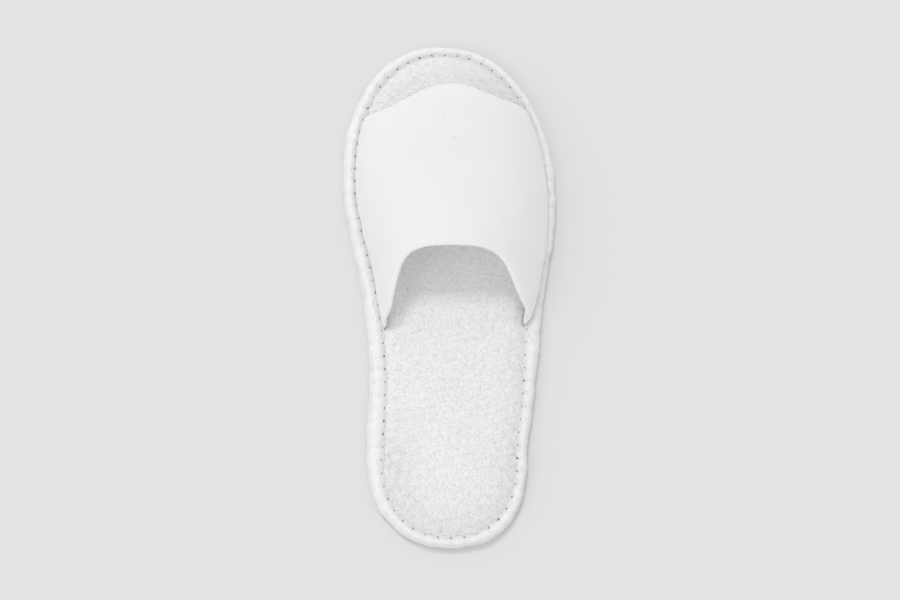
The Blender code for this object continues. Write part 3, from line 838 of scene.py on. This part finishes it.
def footbedHeight(x, y, depth):
    # a low pillow: a border that climbs from the rim by a power, then a slight crown and broad dents
    covered = underVamp(x, y)
    rim = rimHeight(covered)
    start = footbed["start"] + covered * (footbed["startAtVamp"] - footbed["start"])
    share = np.clip((depth - start) / footbed["slope"], 0.0, 1.0)
    climb = 1.0 - (1.0 - share) ** footbed["steepness"]
    crown = footbed["crown"] * ease((depth - start) / footbed["crownReach"])
    broad, fine = footbed["dentWaves"]
    dents = footbed["dent"] * (unevenness(x, y, broad, 31) + 0.5 * unevenness(x, y, fine, 32)) * share
    return rim + (footbed["pillow"] - rim) * climb + crown + dents


def paintedBorderShade(x, y, depth):
    # painted shade: round the border the terry is darker towards the heel and, by a lesser share, towards
    # the outer side, in soft patches
    heel = 1.0 - ease((y - tapeLow.y - footbed["shadeHeelReach"]) / footbed["shadeHeelReach"])
    outer = ease((x - footbed["shadeOuterStart"]) / footbed["shadeOuterReach"])
    border = 1.0 - ease(depth / footbed["shadeBorderReach"])
    patches = 0.5 + 0.5 * unevenness(x, y, footbed["shadePatchSize"], 33)
    return np.clip(border * np.maximum(heel, 0.6 * outer) * (0.6 + 0.8 * patches), 0.0, 1.0)


def makeFootbed():
    # rings inset from the edge, drawn together on the middle line and closed there by a ladder of quads
    side = np.linspace(0.0, 1.0, footbed["stationsPerSide"] + 1)[:-1]
    distance = np.concatenate([toeDistance * side, toeDistance + (seamLength - toeDistance) * side])
    place, inward, sewn = besideEdge(distance)
    bottom = slipper["soleTop"] + slipper["fitGap"]
    rim = rimHeight(underVamp(*place.T))
    rings = []
    for inset, height in (
        (footbed["inset"] + footbed["corner"], bottom),
        (footbed["inset"], bottom + footbed["corner"]),
        (footbed["inset"] + footbed["corner"], rim),
    ):
        rings.append(np.column_stack([place + inward * inset, np.broadcast_to(height, len(place))]))
    for depth in footbed["rings"]:
        ring = place + inward * (sewn + depth)[:, None]
        rings.append(np.column_stack([ring, footbedHeight(*ring.T, depth)]))
    spineY = np.clip(ring[:, 1], tapeLow.y + footbed["spineHeel"], tapeHigh.y - footbed["spineToe"])
    spineX = sum(sideLine(footbed["spineInset"], spineY, outer) for outer in (True, False)) / 2
    for share in footbed["drawnIn"]:
        flat = ring + (np.stack([spineX, spineY], axis=1) - ring) * share
        depth = footbed["rings"][-1] + footbed["drawnDepth"] * share
        rings.append(np.column_stack([flat, footbedHeight(*flat.T, depth)]))
    count = len(place)
    faces = gridFaces(len(rings), count, closeColumns=True).tolist()
    last = (len(rings) - 1) * count
    here = np.arange(count // 2)
    there = np.mod(count - here, count)
    ladder = np.stack([here, here + 1, np.mod(there - 1, count), there], axis=1)
    for step in ladder:
        corners = list(dict.fromkeys((last + step).tolist()))
        faces.append(corners[::-1])
    faces.append(list(range(count)))
    points = np.concatenate(rings)
    piece = makePiece("footbed", points, faces, terryGround)
    x, y = points[:, 0], points[:, 1]
    # painted shade round the footbed's heel and outer border
    addAttribute(piece, "borderShadeMask", paintedBorderShade(x, y, seamDepth(x, y)))
    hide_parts("insole")
    return piece


makeFootbed()

# each loop of the terry is a bent bead
loop = {
    "acrossPitch": 0.00134, "alongPitch": 0.00124, "jitter": 0.36, "sway": 52,
    "halfLength": 0.00092, "halfWidth": 0.00042, "height": 0.00037,
    "tilt": 0.22, "fromSeam": 0.0010, "fromSeamAtVamp": 0.0030,
    "clumps": 0.30, "clumpSize": 0.0048, "bare": -0.60, "bareSize": 0.0042,
    "fromSide": 0.001, "fromTip": 0.002,          # the search stops this far inside the bound edge
}
bead = {
    # its rings and their girth, how flat it is, how high it lies, how far it bends and its sunk ends
    "stations": (-0.62, 0.0, 0.62), "girth": (0.80, 1.0, 0.80),
    "flatness": 0.75, "lift": 0.35, "bend": 0.9, "sunk": 0.75,
}


def loopMesh(centres, along, up, length, width, height):
    # a bent bead: three rings of four points on an arch, closed by a point sunk at each foot
    angle = np.radians([45, 135, 225, 315])
    local = np.array(
        [(-1.0, 0.0, -bead["sunk"])]
        + [(s, g * np.cos(a), g * np.sin(a) * bead["flatness"] + bead["lift"] - bead["bend"] * s * s)
           for s, g in zip(bead["stations"], bead["girth"]) for a in angle]
        + [(1.0, 0.0, -bead["sunk"])]
    )
    side = np.cross(up, along)
    points = centres[:, None] + (
        (local[:, 0] * length[:, None])[:, :, None] * along[:, None]
        + (local[:, 1] * width[:, None])[:, :, None] * side[:, None]
        + (local[:, 2] * height[:, None])[:, :, None] * up[:, None]
    )
    one = [[0, 1 + k, 1 + (k + 1) % 4] for k in range(4)]
    for r in (1, 5):
        one += [[r + k, r + 4 + k, r + 4 + (k + 1) % 4, r + (k + 1) % 4] for k in range(4)]
    one += [[13, 9 + (k + 1) % 4, 9 + k] for k in range(4)]
    shift = np.arange(len(centres)) * len(local)
    faces = []
    for face in one:
        faces += (np.array(face) + shift[:, None]).tolist()
    return points.reshape(-1, 3), faces


def makeLoops(name, low, high, seed):
    # woven rows of loops over one stretch of the footbed, each turned and placed a little at random
    draw = np.random.default_rng(seed)
    x, y = np.meshgrid(
        np.arange(tapeLow.x, tapeHigh.x, loop["acrossPitch"]), np.arange(low, high, loop["alongPitch"])
    )
    x = x + np.where(np.arange(len(y)) % 2, 0.5, 0.0)[:, None] * loop["acrossPitch"]
    x = (x + draw.uniform(-1, 1, x.shape) * loop["jitter"] * loop["acrossPitch"]).ravel()
    y = (y + draw.uniform(-1, 1, y.shape) * loop["jitter"] * loop["alongPitch"]).ravel()
    depth = seamDepth(x, y)
    tip, toe = edge[np.argmin(edge[:, 1])], edge[np.argmax(edge[:, 1])]
    middle = sideLine(loop["fromSide"], y, True) > x
    middle &= sideLine(loop["fromSide"], y, False) < x
    middle &= (y > tip[1] + loop["fromTip"]) & (y < toe[1] - loop["fromTip"])
    limit = loop["fromSeam"] + (loop["fromSeamAtVamp"] - loop["fromSeam"]) * underVamp(x, y)
    keep = middle & (depth > limit) & (unevenness(x, y, loop["bareSize"], seed + 5) > loop["bare"])
    x, y = x[keep], y[keep]
    z = footbedHeight(x, y, depth[keep])
    angle = np.radians(draw.normal(0.0, loop["sway"], len(x)))
    tilt = draw.normal(0.0, loop["tilt"], (len(x), 2))
    up = unit(np.stack([tilt[:, 0], tilt[:, 1], np.ones(len(x))], axis=1))
    along = np.stack([np.cos(angle), np.sin(angle), np.zeros(len(x))], axis=1)
    along = unit(along - up * (along * up).sum(axis=1, keepdims=True))
    clumps = 1.0 + loop["clumps"] * unevenness(x, y, loop["clumpSize"], seed + 9)
    size = draw.uniform(0.75, 1.25, (3, len(x))) * clumps
    points, faces = loopMesh(
        np.stack([x, y, z], axis=1), along, up,
        loop["halfLength"] * size[0], loop["halfWidth"] * size[1], loop["height"] * size[2],
    )
    piece = makePiece(name, points, faces, terryLoops)
    # the loops take the same painted shade as the footbed under them
    addAttribute(piece, "borderShadeMask", np.repeat(paintedBorderShade(x, y, depth[keep]), len(points) // len(x)))
    return piece


makeLoops("terryLoopsHeel", tapeLow.y, 0.0, 41)
makeLoops("terryLoopsToe", 0.0, tapeHigh.y, 42)


# loose pile on the tape
tufts = {
    "count": 2600, "outerShare": 0.65,            # of them, this share stands on the outer side
    "halfLength": 0.00050, "halfWidth": 0.00013, "height": 0.00040, "sunk": 0.00005,
}


def makeTufts():
    # bent beads of pile scattered over the tape, each lying any way round on its surface
    draw = np.random.default_rng(61)
    stations, columns = tapeTop.shape[:2]
    half = stations * toeDistance / seamLength
    outer = draw.random(tufts["count"]) < tufts["outerShare"]
    onOuter, onInner = draw.uniform(0, half, len(outer)), draw.uniform(half, stations, len(outer))
    station = np.where(outer, onOuter, onInner)
    at = station.astype(int) % stations, draw.integers(tape["lipSteps"] + 8, columns - 6, len(outer))
    up = unit(tapeOutward[at])
    along = unit(np.cross(up, draw.normal(0.0, 1.0, up.shape)))
    size = draw.uniform(0.5, 1.5, (3, len(outer)))
    points, faces = loopMesh(
        tapeTop[at] - up * tufts["sunk"], along, up,
        tufts["halfLength"] * size[0], tufts["halfWidth"] * size[1], tufts["height"] * size[2],
    )
    return makePiece("tapeTufts", points, faces, terryLoops)


makeTufts()

lint = {
    # place across and along on top of the vamp, half its length, half its width
    "bits": [(-0.0050, 0.0930, 0.00034, 0.00022), (0.0005, 0.0790, 0.00038, 0.00024),
             (0.0050, 0.0420, 0.00022, 0.00014), (-0.0070, 0.0310, 0.00022, 0.00016),
             (0.0265, 0.0330, 0.00026, 0.00016), (-0.0210, 0.0660, 0.00018, 0.00012)],
}


def makeLint():
    # specks of fluff on the vamp's face, each at the nearest point of its surface
    places = vampOutside.reshape(-1, 3)
    bits = np.array(lint["bits"])
    nearest = ((bits[:, None, :2] - places[None, :, :2]) ** 2).sum(-1).argmin(axis=1)
    up = -vampInward.reshape(-1, 3)[nearest]
    along = unit(np.cross(up, np.random.default_rng(62).normal(0.0, 1.0, up.shape)))
    points, faces = loopMesh(places[nearest], along, up, bits[:, 2], bits[:, 3], bits[:, 3])
    return makePiece("lint", points, faces, lintGrey)


makeLint()

# the foam outsole keeps its solid and takes its finish
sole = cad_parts["outsole"]
sole.data.materials.clear()
sole.data.materials.append(foamSole)
print("outsole finished")


studio = {
    "floorColour": (0.74, 0.74, 0.755), "floorSize": 12.0,
    "worldLight": (1.0, 1.0, 1.0), "worldStrength": 0.764,
    # name, direction it comes from, strength and angular size in degrees
    "suns": [("key", (-0.20, 0.43, 0.88), 0.74, 12), ("side", (-0.60, -0.35, 0.72), 0.31, 30)],
}


def makeFloor():
    # one wide square at height 0
    half = studio["floorSize"] / 2
    across, ahead = np.meshgrid((-half, half), (-half, half))
    corners = np.stack([across, ahead, np.zeros_like(across)], axis=-1).reshape(-1, 3)
    mesh = bpy.data.meshes.new("floor")
    mesh.from_pydata(corners.tolist(), [], [(0, 1, 3, 2)])
    floor = bpy.data.objects.new("floor", mesh)
    material = bpy.data.materials.new("plainFloor")
    material.use_nodes = True
    shader = material.node_tree.nodes["Principled BSDF"]
    setInputs(shader, {
        "Base Color": (*studio["floorColour"], 1), "Roughness": 0.9, "Specular IOR Level": 0.1,
    })
    mesh.materials.append(material)
    bpy.context.scene.collection.objects.link(floor)


def makeLights():
    # an even pale world and two broad suns, each turned from its place to the origin
    world = bpy.data.worlds.new("studio")
    bpy.context.scene.world = world
    world.use_nodes = True
    background = world.node_tree.nodes["Background"]
    setInputs(background, {"Color": (*studio["worldLight"], 1), "Strength": studio["worldStrength"]})
    for name, place, strength, size in studio["suns"]:
        data = bpy.data.lights.new(name, "SUN")
        data.energy = strength
        data.angle = np.radians(size)
        sun = bpy.data.objects.new(name, data)
        sun.location = place
        sun.rotation_mode = "QUATERNION"
        sun.rotation_quaternion = (-sun.location).to_track_quat("-Z", "Y")
        bpy.context.scene.collection.objects.link(sun)


view = {"place": (-0.062, -0.1852, 1.034), "target": (0.0, -0.0046, 0.006), "lens": 75.3}


def makeCamera():
    # looks down from the heel's side, with the toe up
    data = bpy.data.cameras.new("camera")
    data.lens = view["lens"]
    data.sensor_width = 36.0
    data.clip_start = 0.05
    camera = bpy.data.objects.new("camera", data)
    back = (Vector(view["place"]) - Vector(view["target"])).normalized()
    right = Vector((0.0, 1.0, 0.0)).cross(back).normalized()
    axes = Matrix((right, back.cross(right), back)).transposed()
    camera.rotation_euler = axes.to_euler()
    camera.location = view["place"]
    bpy.context.scene.collection.objects.link(camera)
    bpy.context.scene.camera = camera


makeFloor()
makeLights()
makeCamera()
bpy.context.scene.view_settings.view_transform = "Standard"
print("studio set")
